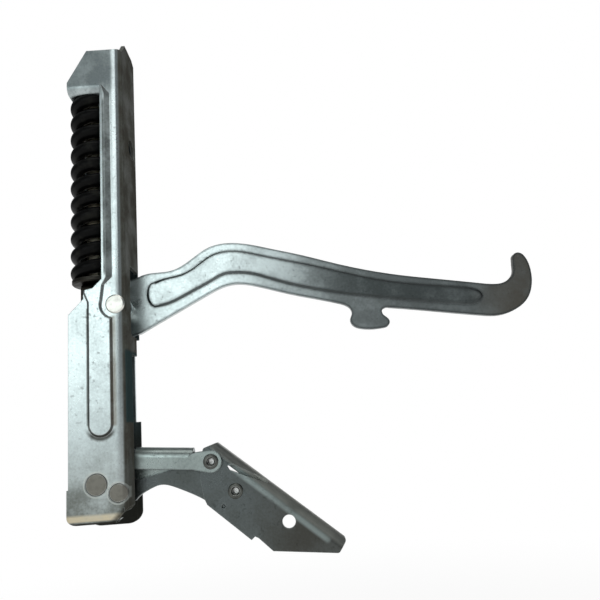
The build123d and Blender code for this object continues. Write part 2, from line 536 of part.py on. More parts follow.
def make_plate():
    """Arched hinge plate from the channel's pin to the bracket's lower rivet."""
    arch = Spline((-0.6, 6.6), (4.4, 10.2), (9.4, 11.7), (14.9, 10.3), (25.4, 5.1), (35.9, 1.8),
                  tangents=((0.7, 1), (1, -0.2)))
    top = Polyline((35.9, 1.8), (40.0, 12.0), (33.4, 13.3), (25.9, 15.1), (23.9, 17.2), (15.4, 17.3),
                   (7.4, 15.8), (1.0, 14.4), (-5.6, 14.6), (-7.1, 7.5), (-0.6, 6.6))
    outline = make_face([arch, top])
    outline += Pos(PLATE_PIN_X, PLATE_PIN_Z) * Circle(5.0)
    outline += Pos(LOWER_RIVET_X, LOWER_RIVET_Z) * Circle(5.8)
    plate = slab(outline, PLATE_Y, PLATE_Y + PLATE_THICKNESS)
    plate -= rod_y(PLATE_PIN_X, PLATE_PIN_Z, PLATE_PIN_RADIUS + RUN, PLATE_Y - 1, PLATE_Y + 5)
    return plate - rod_y(LOWER_RIVET_X, LOWER_RIVET_Z, RIVET_SHANK + RUN, PLATE_Y - 1, PLATE_Y + 5)


def bracket_outline():
    """Outline of the folded bracket as seen from the front."""
    corners = [(31.8, 26.2), (26.0, 24.2), (24.4, 13.3), (25.6, 6.0), (26.8, 3.2), (42.9, -10.7),
               (44.3, -9.5), (45.6, -10.2), (50.8, -15.2), (75.4, -17.7), (78.7, -13.2), (50.2, 10.4),
               (48.8, 11.9)]
    face = make_face(Polyline(*corners, close=True))
    sharp = [v for v in face.vertices() if v.X > 72.4 or v.Y > 24]
    return fillet(sharp, 1.2)


def make_bracket():
    """Bracket folded back along its upper edge, with a slot in the fold and a screw hole."""
    start = (32.0, 25.5)
    end = (77.9, -12.5)
    length = hypot(end[0] - start[0], end[1] - start[1])
    along = Vector((end[0] - start[0]) / length, 0, (end[1] - start[1]) / length)
    outward = Vector(-along.Z, 0, along.X)
    margin = 4.0
    origin = Vector(end[0], 0, end[1]) + along * margin
    back = LINK_BACK

    wall = Rectangle(45, back - BRACKET_Y, align=(Align.MAX, Align.MIN))
    wall = fillet(wall.vertices().group_by(Axis.X)[-1].sort_by(Axis.Y)[0], BRACKET_BEND)
    hollow = Pos(-BRACKET_SHEET, BRACKET_SHEET) * Rectangle(50, 20, align=(Align.MAX, Align.MIN))
    hollow = fillet(hollow.vertices().group_by(Axis.X)[-1].sort_by(Axis.Y)[0], BRACKET_BEND - BRACKET_SHEET)
    profile = Pos(0, BRACKET_Y) * (wall - hollow)
    plane = Plane(origin=origin, x_dir=outward, z_dir=-along)
    folded = extrude(plane * profile, amount=length + 2 * margin)
    lip = Pos(0, back) * Rectangle(BRACKET_RETURN, BRACKET_SHEET, align=(Align.MAX, Align.MAX))
    folded += extrude(plane * lip, amount=length + margin - BRACKET_RETURN_START)

    folded &= slab(bracket_outline(), BRACKET_Y - 1, back + 1)
    slit = Polyline((35.0, 16.9), (35.9, 15.4), (50.0, 9.4), (49.6, 10.9), (37.4, 17.3), close=True)
    slot = make_face(slit)
    folded -= slab(slot, BRACKET_Y - 1, BRACKET_Y + 3.2)
    folded -= rod_y(BRACKET_HOLE_X, BRACKET_HOLE_Z, BRACKET_HOLE_RADIUS, BRACKET_Y - 1, BRACKET_Y + 2)
    folded -= rod_y(UPPER_RIVET_X, UPPER_RIVET_Z, RIVET_SHANK + FIT, BRACKET_Y - 1, BRACKET_Y + 3)
    folded -= rod_y(LOWER_RIVET_X, LOWER_RIVET_Z, RIVET_SHANK + FIT, BRACKET_Y - 1, BRACKET_Y + 3)
    return folded - Pos(33.0, BRACKET_Y - 0.2, 2.2) * Sphere(0.8)


def make_hollow_rivet(x, z, y_near, y_far, y_end):
    """Hollow rivet: rounded ring in front with a bore in it, plain ring behind."""
    front = rod_y(x, z, RIVET_RING, y_near - RIVET_RING_HEIGHT, y_near)
    front = fillet(front.faces().sort_by(Axis.Y)[0].edges(), RIVET_RING_HEIGHT * 0.8)
    back = rod_y(x, z, RIVET_RING, y_far, y_end)
    back = chamfer(back.faces().sort_by(Axis.Y)[-1].edges(), (y_end - y_far) * 0.4)
    body = front + rod_y(x, z, RIVET_SHANK, y_near, y_far) + back
    body -= rod_y(x, z, RIVET_BORE, y_near - 2, y_near + RIVET_BORE_DEPTH)
    rim = body.faces().sort_by(Axis.Y)[0].edges().sort_by(SortBy.LENGTH)[0]
    return chamfer(rim, 0.5)


def build_all():
    """Every piece by its name, in the channel's measures."""
    bush_gap = SIDE_GAP
    plate_back = PLATE_Y + PLATE_THICKNESS
    return {
        "door_channel": make_channel(),
        "compression_spring": make_spring(),
        "guide_rod": make_rod(),
        "rod_end_washer": make_end_washer(),
        "spring_seat": make_seat(),
        "rod_yoke": make_yoke(),
        "hook_arm": make_arm(),
        "inner_lever": make_inner_lever(),
        "cross_pin": make_cross_pin(),
        "pivot_bush": tube_y(PIVOT_X, PIVOT_Z, BUSH_RADIUS, RIVET_RADIUS + RUN,
                             INNER_LEVER_Y + INNER_LEVER_THICKNESS, ARM_Y),
        "arm_pivot_rivet": make_pivot_rivet(),
        "pivot_washer": tube_y(PIVOT_X, PIVOT_Z, BUSH_RADIUS, RIVET_RADIUS + FIT,
                               ARM_Y + ARM_THICKNESS + bush_gap, BACK_INSIDE),
        "link_pivot_pin": make_flush_pin(LINK_PIN_X, LINK_PIN_Z, LINK_PIN_HEAD, LINK_PIN_RADIUS),
        "plate_pivot_pin": make_flush_pin(PLATE_PIN_X, PLATE_PIN_Z, PLATE_PIN_HEAD, PLATE_PIN_RADIUS),
        "link_bush_front": tube_y(LINK_PIN_X, LINK_PIN_Z, LINK_BUSH_RADIUS, LINK_PIN_RADIUS + FIT,
                                  SHEET, LINK_Y - bush_gap),
        "link_bush_rear": tube_y(LINK_PIN_X, LINK_PIN_Z, LINK_BUSH_RADIUS, LINK_PIN_RADIUS + FIT,
                                 LINK_BACK + bush_gap, BACK_INSIDE),
        "folded_link": make_link(),
        "hinge_plate": make_plate(),
        "folded_bracket": make_bracket(),
        "bracket_rivet_upper": make_hollow_rivet(UPPER_RIVET_X, UPPER_RIVET_Z, LINK_Y - RUN,
                                                  LINK_BACK - RIVET_RING_HEIGHT + RUN, LINK_BACK),
        "bracket_rivet_lower": make_hollow_rivet(LOWER_RIVET_X, LOWER_RIVET_Z, BRACKET_Y, plate_back + RUN,
                                                  plate_back + RUN + RIVET_RING_HEIGHT),
        "link_spacer": tube_y(UPPER_RIVET_X, UPPER_RIVET_Z, RIVET_RING, RIVET_SHANK + FIT,
                              BRACKET_Y + BRACKET_SHEET, LINK_BACK - LINK_SHEET - SIDE_GAP),
    }


to_origin = Pos(0, -FIXING_HOLE_Y, -FIXING_HOLE_Z)
os.makedirs("parts", exist_ok=True)
for name, piece in build_all().items():
    export_step(to_origin * piece, os.path.join("parts", name + ".step"))
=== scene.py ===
"""Looks of an oven door hinge: zinc-plated sheet, black spring, flush pins and hollow rivets.

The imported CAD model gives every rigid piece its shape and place. This script gives each of them
a procedural finish and sets the floor, the lamps and the camera. Its places are in the channel's
own millimetres: x from the channel's open edge towards the oven, y from the front flange's outer
face towards the back flange, and z from the channel's foot upwards.
"""

import logging
from dataclasses import dataclass, field
from enum import Enum
from typing import Any, Dict, List, Optional, Tuple, Union

import bpy
from mathutils import Matrix, Vector

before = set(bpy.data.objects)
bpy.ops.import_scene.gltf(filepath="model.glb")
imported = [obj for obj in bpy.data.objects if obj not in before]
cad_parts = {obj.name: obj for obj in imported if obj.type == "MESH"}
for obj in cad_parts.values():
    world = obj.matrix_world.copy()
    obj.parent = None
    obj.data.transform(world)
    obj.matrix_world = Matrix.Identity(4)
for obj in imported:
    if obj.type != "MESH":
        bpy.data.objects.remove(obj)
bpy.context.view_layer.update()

log = logging.getLogger("oven_door_hinge")

Pair = Tuple[float, float]
Triple = Tuple[float, float, float]
Range = Tuple[float, float, float, float]
Colour = Tuple[float, float, float, float]

MM = 0.001
# The fixing hole's centre on the web's outer face, where the shared frame has its origin.
ORIGIN = (22.6, 14.5, 152.0)
# Open ends of a range, in channel millimetres beyond every piece.
LOW = (-99.0, -98.0)
HIGH = (298.0, 299.0)
# Range along y that holds the front flange and nothing behind it.
FRONT = (*LOW, 3.0, 6.0)

# Axes of the pins and rivets, which all lie along y, as x and z in channel millimetres.
ARM_PIVOT = (18.8, 81.3)
LINK_PIN = (10.9, 14.2)
PLATE_PIN = (18.9, 10.8)
UPPER_RIVET = (51.7, 19.1)
LOWER_RIVET = (60.4, 7.5)

# Rolling marks along an upright or a level piece, as scales of Object coordinates.
UPRIGHT_GRAIN = (1.0, 1.0, 0.06)
LEVEL_GRAIN = (0.06, 1.0, 1.0)
# How far a rounded normal leaves the true one, as 1 - cosine, where an edge begins and is full.
EDGE_TURN = (0.003, 0.03)
BEVEL_SAMPLES = 6


class Axis(Enum):
    """Axis of Object coordinates."""

    X = 0
    Y = 1
    Z = 2

    def metres(self, place: float) -> float:
        """Place on this axis, given in channel millimetres, in the shared frame in metres."""
        return (place - ORIGIN[self.value]) * MM


class Sum(Enum):
    """Arithmetic that a shader expression may use."""

    ADD = "ADD"
    SUBTRACT = "SUBTRACT"
    MULTIPLY = "MULTIPLY"
    DIVIDE = "DIVIDE"
    POWER = "POWER"
    MAXIMUM = "MAXIMUM"
    MINIMUM = "MINIMUM"
    ABSOLUTE = "ABSOLUTE"
    SINE = "SINE"


def at(x: float, y: float, z: float) -> Vector:
    """Point given in channel millimetres, in the shared frame in metres."""
    return Vector([axis.metres(place) for axis, place in zip(Axis, (x, y, z))])


def grey(value: float) -> Colour:
    """Neutral colour of one level."""
    return (value, value, value, 1.0)


@dataclass
class Value:
    """A number that varies over a surface: one output socket in a material.

    Args:
        nodes: the material's node builder.
        socket: the output socket that carries the number.
    """

    nodes: "Nodes"
    socket: bpy.types.NodeSocket

    def _with(self, how: Sum, *operands: Any) -> "Value":
        """Result of one Math node on its operands."""
        inputs = dict(enumerate(operands))
        return self.nodes.make("ShaderNodeMath", {"operation": how.value}, inputs)

    def __add__(self, other: Union["Value", float]) -> "Value":
        """Sum."""
        return self._with(Sum.ADD, self, other)

    __radd__ = __add__

    def __sub__(self, other: Union["Value", float]) -> "Value":
        """Difference."""
        return self._with(Sum.SUBTRACT, self, other)

    def __rsub__(self, other: float) -> "Value":
        """Difference with the value on the right."""
        return self._with(Sum.SUBTRACT, other, self)

    def __mul__(self, other: Union["Value", float]) -> "Value":
        """Product."""
        return self._with(Sum.MULTIPLY, self, other)

    __rmul__ = __mul__

    def __truediv__(self, other: Union["Value", float]) -> "Value":
        """Quotient."""
        return self._with(Sum.DIVIDE, self, other)

    def __pow__(self, other: float) -> "Value":
        """Power."""
        return self._with(Sum.POWER, self, other)

    def __abs__(self) -> "Value":
        """The value without its sign."""
        return self._with(Sum.ABSOLUTE, self)

    def at_least(self, low: float) -> "Value":
        """The value kept from falling below a number."""
        return self._with(Sum.MAXIMUM, self, low)

    def limited(self) -> "Value":
        """The value kept between 0 and 1."""
        return self._with(Sum.MINIMUM, self.at_least(0.0), 1.0)

    def sine(self) -> "Value":
        """Sine of the value in radians."""
        return self._with(Sum.SINE, self)


def distance(across: Value, along: Value) -> Value:
    """Distance from the line on which both values are 0."""
    return (across * across + along * along) ** 0.5


@dataclass(frozen=True)
class Noise:
    """Sizes of one noise.

    Args:
        scale: clouds to a metre.
        detail: how many finer layers it has.
        rough: how strong the finer layers are, 0 to 1.
    """

    scale: float
    detail: float
    rough: float = 0.6


class Nodes:
    """Builder for one material's nodes."""

    def __init__(self, tree: bpy.types.NodeTree) -> None:
        """Start with an empty tree.

        Args:
            tree: the node tree of a material or of the world.
        """
        self.tree = tree
        tree.nodes.clear()

    def node(self, kind: str, settings: Optional[Dict[str, Any]] = None,
             inputs: Optional[Dict[Union[int, str], Any]] = None) -> bpy.types.Node:
        """Make a node, with its settings first and its sockets after.

        Args:
            kind: the node's type name.
            settings: attributes of the node.
            inputs: values or links of its input sockets, by name or number.

        Returns:
            The new node.
        """
        made = self.tree.nodes.new(kind)
        for name, value in (settings or {}).items():
            setattr(made, name, value)
        for name, value in (inputs or {}).items():
            socket = made.inputs[name]
            if isinstance(value, Value):
                self.tree.links.new(value.socket, socket)
            elif isinstance(value, bpy.types.NodeSocket):
                self.tree.links.new(value, socket)
            else:
                socket.default_value = value
        return made

    def make(self, kind: str, settings: Optional[Dict[str, Any]] = None,
             inputs: Optional[Dict[Union[int, str], Any]] = None,
             output: Union[int, str] = 0) -> Value:
        """Make a node and wrap one of its outputs.

        Args:
            kind: the node's type name.
            settings: attributes of the node.
            inputs: values or links of its input sockets.
            output: which output socket is wanted.

        Returns:
            The wrapped output.
        """
        return Value(self, self.node(kind, settings, inputs).outputs[output])

    def coordinates(self) -> bpy.types.NodeSocket:
        """Object coordinates, in metres."""
        return self.node("ShaderNodeTexCoord").outputs["Object"]

    def place(self, scale: Triple = (1.0, 1.0, 1.0)) -> Value:
        """Object coordinates, scaled by a Mapping node."""
        return self.make("ShaderNodeMapping", {}, {"Vector": self.coordinates(), "Scale": scale})

    def along(self, axis: Axis) -> Value:
        """One of the Object coordinates, in metres."""
        return self.make("ShaderNodeSeparateXYZ", {}, {0: self.coordinates()}, axis.name)

    def beyond(self, axis: Axis, place: float) -> Value:
        """Distance in metres beyond a place on an axis, given in channel millimetres."""
        return self.along(axis) - axis.metres(place)

    def noise(self, vector: Value, noise: Noise) -> Value:
        """Noise between 0 and 1 on a place."""
        return self.make("ShaderNodeTexNoise", {}, {
            "Vector": vector, "Scale": noise.scale, "Detail": noise.detail,
            "Roughness": noise.rough})

    def step(self, value: Value, low: float, high: float) -> Value:
        """Smooth step of a value from 0 at low to 1 at high."""
        sizes = {"Value": value, "From Min": low, "From Max": high}
        return self.make("ShaderNodeMapRange", {"interpolation_type": "SMOOTHSTEP"}, sizes)

    def blend(self, share: Value, first: Union[Value, Colour],
              second: Union[Value, Colour]) -> Value:
        """Mix two colours.

        Args:
            share: share of the second colour, 0 to 1.
            first: colour where the share is 0.
            second: colour where the share is 1.

        Returns:
            The mixed colour.
        """
        factor, under, over, result = 0, 6, 7, 2
        node = self.node("ShaderNodeMix", {"data_type": "RGBA"},
                         {factor: share, under: first, over: second})
        return Value(self, node.outputs[result])

    def rounded(self, radius: float) -> Value:
        """Normal of the surface with its sharp edges rounded by a radius in millimetres."""
        return self.make("ShaderNodeBevel", {"samples": BEVEL_SAMPLES}, {"Radius": radius * MM})

    def sharp_edges(self, rounded: Value) -> Value:
        """Find the sharp edges.

        Args:
            rounded: the normal with rounded edges.

        Returns:
            Share of a sharp edge near each point, 0 to 1.
        """
        both = {0: self.node("ShaderNodeNewGeometry").outputs["Normal"], 1: rounded}
        dot = self.make("ShaderNodeVectorMath", {"operation": "DOT_PRODUCT"}, both, "Value")
        return self.step(1.0 - dot, *EDGE_TURN)

    def bump(self, height: Value, strength: float, depth: float,
             normal: Optional[Value] = None) -> Value:
        """Normal of a surface with fine relief on it.

        Args:
            height: the relief's height.
            strength: how much of it shows, 0 to 1.
            depth: depth of a height of 1, in millimetres.
            normal: the normal that it starts from, or None for the surface's own.

        Returns:
            The new normal.
        """
        sizes = {"Strength": strength, "Distance": depth * MM, "Height": height}
        if normal is not None:
            sizes["Normal"] = normal
        return self.make("ShaderNodeBump", {}, sizes)

    def mix_shaders(self, share: Value, first: bpy.types.Node,
                    second: bpy.types.Node) -> bpy.types.Node:
        """Shader between two shaders, the first where the share is 0."""
        return self.node("ShaderNodeMixShader", {},
                         {0: share, 1: first.outputs[0], 2: second.outputs[0]})


@dataclass(frozen=True)
class Finish:
    """Base of every finish: a name and a method that fills a material."""

    name: str

    def material(self) -> bpy.types.Material:
        """Make the finish's material, or find it by its name if it was made before.

        Returns:
            The material.
        """
        found = bpy.data.materials.get(self.name)
        if found is not None:
            return found
        made = bpy.data.materials.new(self.name)
        made.use_nodes = True
        nodes = Nodes(made.node_tree)
        shader = self.shade(nodes)
        nodes.node("ShaderNodeOutputMaterial", {}, {"Surface": shader.outputs[0]})
        return made

    def shade(self, nodes: Nodes) -> bpy.types.Node:
        """Fill the material and return its last shader."""
        raise NotImplementedError


@dataclass(frozen=True)
class Mark:
    """Base of the marks that lie over plating: stains, painted shade and painted highlights.

    Args:
        tone: its colour.
        share: how much it covers, 0 to 1.
        broken: how far the clouds of the plating break it up, 0 to 1.
        matt: how far it takes the metal's shine away, 0 to 1.
    """

    tone: Colour
    share: float
    broken: float = 0.3
    matt: float = 0.0

    def cover(self, nodes: Nodes, cloud: Value) -> Value:
        """Share of the mark over the surface.

        Args:
            nodes: the material's node builder.
            cloud: the clouds that break it up, 0 to 1.

        Returns:
            The share, 0 to 1.
        """
        return (1.0 - self.broken + cloud * self.broken) * self.share * self.extent(nodes)

    def extent(self, nodes: Nodes) -> Union[Value, float]:
        """Where the mark lies, 0 to 1."""
        raise NotImplementedError


@dataclass(frozen=True)
class Patch(Mark):
    """Part of a piece, between places on its axes, duller, browner, or painted with shade or
    highlight.

    Each range has four places in channel millimetres: where the patch begins, is full, starts to
    fade and is gone. A range left out doesn't limit it.

    Args:
        x: range across the channel's width.
        y: range across its depth.
        z: range along its height.
    """

    x: Optional[Range] = None
    y: Optional[Range] = None
    z: Optional[Range] = None

    def extent(self, nodes: Nodes) -> Union[Value, float]:
        """Find where all ranges hold.

        Args:
            nodes: the material's node builder.

        Returns:
            The product of the ranges, 0 to 1.
        """
        inside: Union[Value, float] = 1.0
        for axis, limits in zip(Axis, (self.x, self.y, self.z)):
            if limits is not None:
                place = nodes.along(axis)
                begin, full, fading, gone = (axis.metres(limit) for limit in limits)
                entered = nodes.step(place, begin, full)
                inside = entered * inside * (1.0 - nodes.step(place, fading, gone))
        return inside


@dataclass(frozen=True)
class SoftMark(Mark):
    """Soft mark along a line, or round a ring, on the front of a piece: a stain, painted shade or
    highlight.

    Args:
        start: x and z of the line's start or of the ring's centre, in channel millimetres.
        end: x and z of the line's end, or None for a ring.
        reach: distances in millimetres at which it starts to fade and is gone.
        ring: radius of the ring in millimetres, or 0 for a line.
        below: height in channel millimetres above which it fades out.
        deep: depth in channel millimetres to which it reaches from the front.
        depth_fade: millimetres over which it fades past that depth.
        top_fade: millimetres over which it fades, under and over the height below.
    """

    start: Pair = (0.0, 0.0)
    end: Optional[Pair] = None
    reach: Pair = (0.0, 1.0)
    ring: float = 0.0
    below: float = HIGH[0]
    deep: float = 3.0
    depth_fade: float = 3.0
    top_fade: Pair = (2.5, 1.0)

    def extent(self, nodes: Nodes) -> Value:
        """Find where the line or ring is near, on the front and below the height.

        Args:
            nodes: the material's node builder.

        Returns:
            The nearness, 0 to 1.
        """
        across = nodes.beyond(Axis.X, self.start[0])
        along = nodes.beyond(Axis.Z, self.start[1])
        if self.end is not None:
            run = [(end - start) * MM for start, end in zip(self.start, self.end)]
            length = run[0] ** 2 + run[1] ** 2
            share = ((across * run[0] + along * run[1]) / length).limited()
            across = across - share * run[0]
            along = along - share * run[1]
        away = distance(across, along)
        if self.ring > 0.0:
            away = abs(away - self.ring * MM)
        fading, gone = (number * MM for number in self.reach)
        near = 1.0 - nodes.step(away, fading, gone)
        depth = Axis.Y.metres(self.deep), Axis.Y.metres(self.deep + self.depth_fade)
        front = 1.0 - nodes.step(nodes.along(Axis.Y), *depth)
        under, over = self.top_fade
        top = Axis.Z.metres(self.below - under), Axis.Z.metres(self.below + over)
        return near * front * (1.0 - nodes.step(nodes.along(Axis.Z), *top))


@dataclass(frozen=True)
class ZincSheet(Finish):
    """Blue-passivated zinc on rolled sheet.

    Args:
        tone: colour of the clean plating.
        shade_tone: colour of the duller, stained plating.
        gloss: roughness of clean plating.
        grain: direction of the rolling marks, as scales of Object coordinates.
        edge_tone: colour painted along folded and cut edges, light as painted highlight, dark as
            painted shade.
        edge_share: how much of that colour shows there, 0 to 1.
        edge_reach: width of those edges, in millimetres.
        bend_from: place along x, in channel millimetres, from which the sheet curves to its bend.
        marks: patches and soft marks, from the first to the last laid over.
        clouds: noise of the plating's soft clouds.
        flecks: noise of its fine flecks.
        rolling: noise of the rolling marks.
        pits: noise of the pits.
        stained: share of stained plating, 0 to 1.
        stain_levels: cloud levels between which the staining comes in.
        flecked: how strongly the flecks show in the colour.
        pitted: strength of the small dark pits, 0 to 1.
        pit_levels: noise levels between which a pit comes in.
        pit_shade: how dark a pit is beside the stained plating.
        broken_levels: cloud levels between which marks close up.
        broken_flecks: how strongly the flecks break up the marks.
        rough_cloud: roughness that the clouds add.
        rough_fleck: roughness that the flecks add.
        rough_pit: roughness that a pit adds.
        rough_mark: roughness that a mark adds.
        heights: heights of rolling marks, flecks and pits in the relief.
        relief: how much of the relief shows, 0 to 1.
        relief_depth: depth of the relief, in millimetres.
        edge_radius: radius to which sharp edges are rounded, in millimetres.
        bend_fall: height that the curving sheet loses in the first millimetre.
    """

    tone: Colour = (0.66, 0.74, 0.74, 1.0)
    shade_tone: Colour = (0.40, 0.45, 0.45, 1.0)
    gloss: float = 0.30
    grain: Triple = UPRIGHT_GRAIN
    edge_tone: Colour = (0.80, 0.84, 0.82, 1.0)
    edge_share: float = 0.3
    edge_reach: float = 0.35
    bend_from: Optional[float] = None
    marks: Tuple[Mark, ...] = ()
    clouds: Noise = Noise(70.0, 4.0)
    flecks: Noise = Noise(1100.0, 3.0, 0.65)
    rolling: Noise = Noise(2400.0, 2.0)
    pits: Noise = Noise(700.0, 2.0, 0.5)
    stained: float = 0.5
    stain_levels: Pair = (0.38, 0.66)
    flecked: float = 1.25
    pitted: float = 0.25
    pit_levels: Pair = (0.62, 0.72)
    pit_shade: float = 0.45
    broken_levels: Pair = (0.30, 0.62)
    broken_flecks: float = 0.8
    rough_cloud: float = 0.14
    rough_fleck: float = 0.16
    rough_pit: float = 0.2
    rough_mark: float = 0.12
    heights: Triple = (0.35, 0.5, -0.8)
    relief: float = 0.25
    relief_depth: float = 0.06
    edge_radius: float = 0.3
    bend_fall: float = 0.06

    def shade(self, nodes: Nodes) -> bpy.types.Node:
        """Mottled plating with fine rolling marks, small pits, its marks, and painted light or
        shade on edges.

        Args:
            nodes: the material's node builder.

        Returns:
            The material's last shader.
        """
        place = nodes.place()
        cloud = nodes.noise(place, self.clouds)
        fleck = nodes.noise(place, self.flecks)
        speckle = fleck - 0.5
        rolling = nodes.noise(nodes.place(self.grain), self.rolling)
        pits = nodes.step(nodes.noise(place, self.pits), *self.pit_levels)

        stain = nodes.step(cloud, *self.stain_levels) * self.stained + speckle * self.flecked
        colour = nodes.blend(stain.limited(), self.tone, self.shade_tone)
        dark = tuple(self.pit_shade * part for part in self.shade_tone[:3]) + (1.0,)
        colour = nodes.blend(pits * self.pitted, colour, dark)

        broken = nodes.step(cloud, *self.broken_levels) + speckle * self.broken_flecks
        broken = broken.limited()
        dull: Union[Value, float] = 0.0
        matt: Union[Value, float] = 0.0
        for mark in self.marks:
            cover = mark.cover(nodes, broken)
            colour = nodes.blend(cover, colour, mark.tone)
            dull = cover * self.rough_mark + dull
            if mark.matt > 0.0:
                matt = cover * mark.matt + matt
        metal = (1.0 - matt).limited() if isinstance(matt, Value) else 1.0
        rough = (self.gloss + (cloud - 0.5) * self.rough_cloud + speckle * self.rough_fleck
                 + pits * self.rough_pit + dull).limited()

        # Painted edge light or shade: edge_tone laid along the sharp edges.
        edge = nodes.sharp_edges(nodes.rounded(self.edge_reach))
        colour = nodes.blend(edge * self.edge_share, colour, self.edge_tone)
        height = rolling * self.heights[0] + fleck * self.heights[1] + pits * self.heights[2]
        curved = self.curve(nodes, nodes.rounded(self.edge_radius))
        normal = nodes.bump(height, self.relief, self.relief_depth, curved)
        return nodes.node("ShaderNodeBsdfPrincipled", {}, {
            "Base Color": colour, "Metallic": metal, "Roughness": rough, "Normal": normal,
            "Specular IOR Level": 0.0})

    def curve(self, nodes: Nodes, rounded: Value) -> Value:
        """Normal of the sheet where it starts to curve towards its bend.

        Args:
            nodes: the material's node builder.
            rounded: the normal with rounded edges.

        Returns:
            The normal, tilted on the front flange beyond bend_from.
        """
        if self.bend_from is None:
            return rounded
        past = nodes.beyond(Axis.X, self.bend_from).at_least(0.0) / MM
        flange = Axis.Y.metres(1.0), Axis.Y.metres(2.0)
        front = 1.0 - nodes.step(nodes.along(Axis.Y), *flange)
        return nodes.bump(past * past * front * -self.bend_fall, 1.0, 1.0, rounded)


@dataclass(frozen=True)
class PatchySteel(Finish):
    """Unplated steel with duller patches and a fine speckle.

    Args:
        tone: colour of the clean metal.
        dull: colour of the patches.
        gloss: roughness of the clean metal.
        metallic: how far it shines as metal, 0 to 1.
        specular: strength of the shine that isn't metal's.
        patches: noise of the patches.
        patch_levels: noise levels between which a patch comes in.
        patchy: how much of the patches' colour shows, 0 to 1.
        rough_patch: roughness that a patch adds.
        fine: noise of the speckle.
        speckled: how strongly the speckle shows in the colour.
        rough_fine: roughness that the speckle adds.
        relief: how much of the fine relief shows, 0 to 1.
        relief_depth: depth of that relief, in millimetres.
    """

    tone: Colour = (0.56, 0.60, 0.59, 1.0)
    dull: Colour = (0.30, 0.31, 0.29, 1.0)
    gloss: float = 0.32
    metallic: float = 1.0
    specular: float = 0.5
    patches: Noise = Noise(420.0, 3.0)
    patch_levels: Pair = (0.42, 0.70)
    patchy: float = 0.5
    rough_patch: float = 0.14
    fine: Noise = Noise(1500.0, 3.0)
    speckled: float = 0.5
    rough_fine: float = 0.14
    relief: float = 0.2
    relief_depth: float = 0.06

    def shade(self, nodes: Nodes) -> bpy.types.Node:
        """Metal with its patches and speckle, and what working it leaves.

        Args:
            nodes: the material's node builder.

        Returns:
            The material's last shader.
        """
        place = nodes.place()
        patch = nodes.step(nodes.noise(place, self.patches), *self.patch_levels)
        fine = nodes.noise(place, self.fine)
        speckle = fine - 0.5
        dulled = (patch * self.patchy + speckle * self.speckled).limited()
        colour, normal = self.worked(nodes, nodes.blend(dulled, self.tone, self.dull), fine)
        rough = self.gloss + patch * self.rough_patch + speckle * self.rough_fine
        return nodes.node("ShaderNodeBsdfPrincipled", {}, {
            "Base Color": colour, "Metallic": self.metallic, "Roughness": rough.limited(),
            "Specular IOR Level": self.specular, "Normal": normal})

    def worked(self, nodes: Nodes, colour: Value, fine: Value) -> Tuple[Value, Value]:
        """What working the metal leaves on it: here only fine relief.

        Args:
            nodes: the material's node builder.
            colour: the metal's colour so far.
            fine: the fine speckle.

        Returns:
            The colour and the normal.
        """
        return colour, nodes.bump(fine, self.relief, self.relief_depth)


@dataclass(frozen=True)
class SpringWire(PatchySteel):
    """Oil-blackened spring wire, rubbed greyer in patches."""

    tone: Colour = (0.004, 0.004, 0.004, 1.0)
    dull: Colour = (0.024, 0.024, 0.020, 1.0)
    gloss: float = 0.34
    metallic: float = 0.2
    specular: float = 0.08
    patches: Noise = Noise(190.0, 3.0)
    patch_levels: Pair = (0.50, 0.70)
    patchy: float = 0.6
    rough_patch: float = 0.12
    rough_fine: float = 0.3
    relief: float = 0.3
    relief_depth: float = 0.08


@dataclass(frozen=True)
class PlainSteel(PatchySteel):
    """Unplated steel inside the channel, lightly browned by heat and old grease."""

    tone: Colour = (0.66, 0.64, 0.52, 1.0)
    dull: Colour = (0.40, 0.36, 0.26, 1.0)
    gloss: float = 0.42
    metallic: float = 0.9
    patches: Noise = Noise(120.0, 4.0)
    patch_levels: Pair = (0.40, 0.68)
    patchy: float = 0.8
    rough_patch: float = 0.15
    fine: Noise = Noise(1300.0, 3.0)
    speckled: float = 0.3
    rough_fine: float = 0.15


@dataclass(frozen=True)
class TurnedSteel(PatchySteel):
    """Turned or headed steel: pins, bushes and rivets.

    Args:
        centre: x and z of the turning axis, in channel millimetres.
        rings: share of turning marks, 0 to 1.
        ring_turn: radians of the turning marks' wave to a metre.
        ring_height: height of the turning marks beside the speckle.
        edge_radius: radius to which sharp edges are rounded, in millimetres.
        edge_tone: colour of rubbed edges.
        edge_share: how much of that colour shows there, 0 to 1.
        core: radius, in millimetres, of a painted highlight about the axis; 0 for none.
        core_tone: colour of that painted highlight.
        core_full: share of that radius up to which it is fully bright.
    """

    fine: Noise = Noise(1500.0, 2.0)
    relief_depth: float = 0.05
    centre: Pair = (0.0, 0.0)
    rings: float = 0.5
    ring_turn: float = 26000.0
    ring_height: float = 0.5
    edge_radius: float = 0.25
    edge_tone: Colour = (0.80, 0.82, 0.80, 1.0)
    edge_share: float = 0.45
    core: float = 0.0
    core_tone: Colour = (0.90, 0.92, 0.90, 1.0)
    core_full: float = 0.8

    def worked(self, nodes: Nodes, colour: Value, fine: Value) -> Tuple[Value, Value]:
        """Rubbed edges, a painted highlight at the core and fine rings about the turning axis.

        Args:
            nodes: the material's node builder.
            colour: the metal's colour so far.
            fine: the fine speckle.

        Returns:
            The colour and the normal.
        """
        across, along = self.centre
        radius = distance(nodes.beyond(Axis.X, across), nodes.beyond(Axis.Z, along))
        rounded = nodes.rounded(self.edge_radius)
        colour = nodes.blend(nodes.sharp_edges(rounded) * self.edge_share, colour, self.edge_tone)
        # Painted highlight inside the core radius.
        if self.core > 0.0:
            core = self.core * MM
            inside = 1.0 - nodes.step(radius, core * self.core_full, core)
            colour = nodes.blend(inside, colour, self.core_tone)
        height = (radius * self.ring_turn).sine() * self.rings * self.ring_height + fine
        return colour, nodes.bump(height, self.relief, self.relief_depth, rounded)


